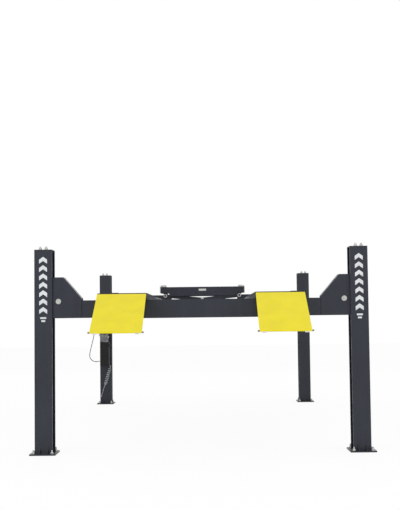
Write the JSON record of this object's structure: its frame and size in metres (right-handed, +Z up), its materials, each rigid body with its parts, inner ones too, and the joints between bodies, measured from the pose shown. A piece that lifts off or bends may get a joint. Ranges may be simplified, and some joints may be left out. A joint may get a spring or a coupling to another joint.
{
  "type": "four-post truck lift",
  "caption": "Four-post heavy truck lift on raised runways with hinged approach ramps, column locks, cable sheaves, power unit and a rolling scissor axle jack.",
  "frame": {"origin": "on the floor, at the centre of the four base plates' outermost anchor holes", "axes": "+X to the right seen from the entry end, +Y from the entry ramps towards the front, +Z up"},
  "size_m": [4.0207, 8.732, 2.356],
  "materials": {
    "frame_paint": "satin powder coat, near-black slate grey",
    "zinc": "zinc plated",
    "bare_steel": "oiled bare steel",
    "wire_rope": "galvanised wire rope",
    "hard_chrome": "polished",
    "ramp_yellow": "satin safety yellow",
    "slide_plastic": "matt",
    "tank_black": "semi-gloss black",
    "cast_aluminium": "as cast",
    "box_grey": "fine texture",
    "button_green": "gloss",
    "button_red": "gloss",
    "hose_rubber": "matt",
    "air_hose": "translucent nylon"
  },
  "bodies": {
    "root": {"column_rear_left": "frame_paint", "column_rear_right": "frame_paint", "column_front_left": "frame_paint", "column_front_right": "frame_paint", "column_caps": "frame_paint", "lock_ladder_rear_left": "bare_steel", "lock_ladder_rear_right": "bare_steel", "lock_ladder_front_left": "bare_steel", "lock_ladder_front_right": "bare_steel", "hanger_studs": "zinc", "lift_cables": "wire_rope", "power_unit_bracket": "frame_paint", "fluid_reservoir": "tank_black", "pump_block": "cast_aluminium", "motor": "tank_black", "control_box": "box_grey", "hydraulic_hose": "hose_rubber", "air_hose_coil": "air_hose", "air_hose_tail": "air_hose", "hose_fittings": "zinc"},
    "platform": {"crossbeam_rear": "frame_paint", "crossbeam_front": "frame_paint", "end_housing_rear_left": "frame_paint", "end_housing_rear_right": "frame_paint", "end_housing_front_left": "frame_paint", "end_housing_front_right": "frame_paint", "slide_blocks": "slide_plastic", "sheave_pins": "zinc", "latch_pins": "zinc", "runway_left": "frame_paint", "runway_right": "frame_paint", "ramp_pins": "zinc", "wheel_stops": "frame_paint", "cylinder_barrel": "frame_paint", "beam_cables": "wire_rope"},
    "sheave_rear_left": {"sheave_rear_left": "bare_steel"},
    "sheave_rear_right": {"sheave_rear_right": "bare_steel"},
    "sheave_front_left": {"sheave_front_left": "bare_steel"},
    "sheave_front_right": {"sheave_front_right": "bare_steel"},
    "latch_rear_left": {"latch_rear_left": "bare_steel"},
    "latch_rear_right": {"latch_rear_right": "bare_steel"},
    "latch_front_left": {"latch_front_left": "bare_steel"},
    "latch_front_right": {"latch_front_right": "bare_steel"},
    "ramp_left": {"ramp_left": "ramp_yellow"},
    "ramp_right": {"ramp_right": "ramp_yellow"},
    "piston": {"piston_rod": "hard_chrome", "pull_plate": "bare_steel"},
    "jack_carriage": {"jack_carriage": "frame_paint"},
    "jack_wheels_front": {"jack_wheels_front": "bare_steel"},
    "jack_wheels_rear": {"jack_wheels_rear": "bare_steel"},
    "scissor_outer": {"scissor_arm_outer": "frame_paint"},
    "scissor_inner": {"scissor_arm_inner": "frame_paint"},
    "jack_table": {"jack_table": "frame_paint"},
    "jack_extension_left": {"jack_extension_left": "zinc"},
    "jack_extension_right": {"jack_extension_right": "zinc"},
    "up_button": {"up_button": "button_green"},
    "lock_release_button": {"lock_release_button": "button_red"},
    "lowering_lever": {"lowering_lever": "zinc"}
  },
  "joints": [
    {"name": "lift", "type": "slide", "parent": "root", "child": "platform", "axis": [0, 0, 1], "range_m": [-1.5, 0.3], "deforming": ["lift_cables"]},
    {"name": "sheave_rear_left_spin", "type": "hinge", "parent": "platform", "child": "sheave_rear_left", "pos_m": [-1.622, -3.6, 1.723], "axis": [0, -1, 0], "range_deg": [-580, 120]},
    {"name": "sheave_rear_right_spin", "type": "hinge", "parent": "platform", "child": "sheave_rear_right", "pos_m": [1.622, -3.6, 1.723], "axis": [0, 1, 0], "range_deg": [-580, 120]},
    {"name": "sheave_front_left_spin", "type": "hinge", "parent": "platform", "child": "sheave_front_left", "pos_m": [-1.622, 3.6, 1.723], "axis": [0, -1, 0], "range_deg": [-580, 120]},
    {"name": "sheave_front_right_spin", "type": "hinge", "parent": "platform", "child": "sheave_front_right", "pos_m": [1.622, 3.6, 1.723], "axis": [0, 1, 0], "range_deg": [-580, 120]},
    {"name": "latch_rear_left_swing", "type": "hinge", "parent": "platform", "child": "latch_rear_left", "pos_m": [-1.806, -3.6, 1.958], "axis": [0, 1, 0], "range_deg": [0, 30]},
    {"name": "latch_rear_right_swing", "type": "hinge", "parent": "platform", "child": "latch_rear_right", "pos_m": [1.806, -3.6, 1.958], "axis": [0, -1, 0], "range_deg": [0, 30]},
    {"name": "latch_front_left_swing", "type": "hinge", "parent": "platform", "child": "latch_front_left", "pos_m": [-1.806, 3.6, 1.958], "axis": [0, 1, 0], "range_deg": [0, 30]},
    {"name": "latch_front_right_swing", "type": "hinge", "parent": "platform", "child": "latch_front_right", "pos_m": [1.806, 3.6, 1.958], "axis": [0, -1, 0], "range_deg": [0, 30]},
    {"name": "ramp_left_hinge", "type": "hinge", "parent": "platform", "child": "ramp_left", "pos_m": [-0.88, -3.95, 1.767], "axis": [-1, 0, 0], "range_deg": [0, 90]},
    {"name": "ramp_right_hinge", "type": "hinge", "parent": "platform", "child": "ramp_right", "pos_m": [0.88, -3.95, 1.767], "axis": [-1, 0, 0], "range_deg": [0, 90]},
    {"name": "piston_slide", "type": "slide", "parent": "platform", "child": "piston", "axis": [0, 1, 0], "range_m": [-1.5, 0.3]},
    {"name": "jack_travel", "type": "slide", "parent": "platform", "child": "jack_carriage", "axis": [0, 1, 0], "range_m": [-1.9, 4.5]},
    {"name": "jack_wheels_front_roll", "type": "hinge", "parent": "jack_carriage", "child": "jack_wheels_front", "pos_m": [0, -1.06, 1.693], "axis": [-1, 0, 0], "range_deg": [-2440, 5775]},
    {"name": "jack_wheels_rear_roll", "type": "hinge", "parent": "jack_carriage", "child": "jack_wheels_rear", "pos_m": [0, -1.54, 1.693], "axis": [-1, 0, 0], "range_deg": [-2440, 5775]},
    {"name": "jack_lift", "type": "hinge", "parent": "jack_carriage", "child": "scissor_outer", "pos_m": [-0.5, -1.3, 1.722], "axis": [0, -1, 0], "range_deg": [0, 18]},
    {"name": "scissor_cross", "type": "hinge", "parent": "scissor_outer", "child": "scissor_inner", "pos_m": [-0.00251, -1.3, 1.772], "axis": [0, -1, 0], "range_deg": [-36, 0]},
    {"name": "table_level", "type": "hinge", "parent": "scissor_inner", "child": "jack_table", "pos_m": [-0.5, -1.3, 1.822], "axis": [0, -1, 0], "range_deg": [0, 18]},
    {"name": "jack_extension_left_slide", "type": "slide", "parent": "jack_table", "child": "jack_extension_left", "axis": [-1, 0, 0], "range_m": [0, 0.25]},
    {"name": "jack_extension_right_slide", "type": "slide", "parent": "jack_table", "child": "jack_extension_right", "axis": [1, 0, 0], "range_m": [0, 0.25]},
    {"name": "up_button_press", "type": "slide", "parent": "root", "child": "up_button", "axis": [0, 1, 0], "range_m": [0, 0.005], "stiffness_N_per_m": 600, "springref_m": -0.001},
    {"name": "lock_release_button_press", "type": "slide", "parent": "root", "child": "lock_release_button", "axis": [0, 1, 0], "range_m": [0, 0.005], "stiffness_N_per_m": 600, "springref_m": -0.001},
    {"name": "lowering_lever_pull", "type": "hinge", "parent": "root", "child": "lowering_lever", "pos_m": [-1.745, 3.3725, 1.205], "axis": [1, 0, 0], "range_deg": [0, 30], "stiffness_Nm_per_rad": 2, "springref_deg": -11.46}
  ],
  "couplings": [
    {"joint": "sheave_rear_left_spin", "follows": "lift", "rad_per_m": 6.6667},
    {"joint": "sheave_rear_right_spin", "follows": "lift", "rad_per_m": 6.6667},
    {"joint": "sheave_front_left_spin", "follows": "lift", "rad_per_m": 6.6667},
    {"joint": "sheave_front_right_spin", "follows": "lift", "rad_per_m": 6.6667},
    {"joint": "piston_slide", "follows": "lift", "ratio": 1},
    {"joint": "jack_wheels_front_roll", "follows": "jack_travel", "rad_per_m": 22.371},
    {"joint": "jack_wheels_rear_roll", "follows": "jack_travel", "rad_per_m": 22.371},
    {"joint": "scissor_cross", "follows": "jack_lift", "ratio": -2},
    {"joint": "table_level", "follows": "jack_lift", "ratio": 1}
  ]
}
